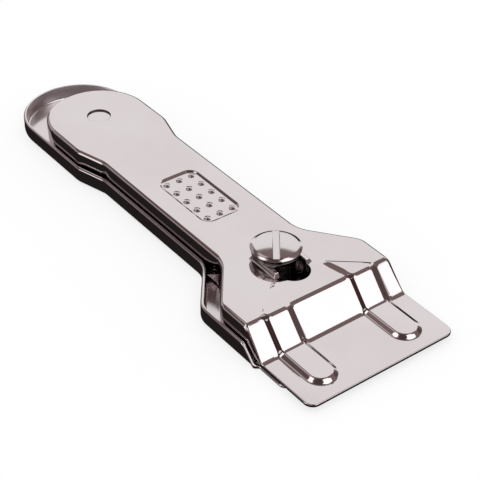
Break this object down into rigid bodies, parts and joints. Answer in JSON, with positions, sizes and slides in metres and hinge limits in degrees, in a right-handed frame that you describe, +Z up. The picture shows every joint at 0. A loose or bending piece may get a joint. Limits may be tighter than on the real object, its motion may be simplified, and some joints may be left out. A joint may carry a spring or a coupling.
{
  "type": "hob scraper",
  "caption": "Flat sliding hob scraper: a pressed chromed cover nests in a tray over a blade, locked by a slotted clamp screw.",
  "frame": {"origin": "centre of the bounding box on the surface that the tray lies on, with the cover at rest", "axes": "+Y from the scraping edge to the round end, along which the cover slides, +X across, +Z up out of the cover's top"},
  "size_m": [0.0472, 0.151, 0.0136],
  "materials": {
    "tray_chrome": "polished plating",
    "cover_chrome": "polished plating",
    "blade_steel": "ground steel",
    "post_steel": "turned steel",
    "screw_chrome": "polished plating",
    "washer_chrome": "polished plating"
  },
  "bodies": {
    "tray": {"lower_tray": "tray_chrome", "threaded_post": "post_steel", "blade": "blade_steel"},
    "cover": {"upper_cover": "cover_chrome"},
    "screw": {"clamp_screw": "screw_chrome", "clamp_washer": "washer_chrome"}
  },
  "joints": [
    {"name": "cover_slide", "type": "slide", "parent": "tray", "child": "cover", "axis": [0, 1, 0], "range_m": [-0.0015, 0.006]},
    {"name": "screw_turn", "type": "hinge", "parent": "tray", "child": "screw", "pos_m": [0, -0.0338, 0.0114], "axis": [0, 0, 1], "range_deg": [0, 450]}
  ]
}
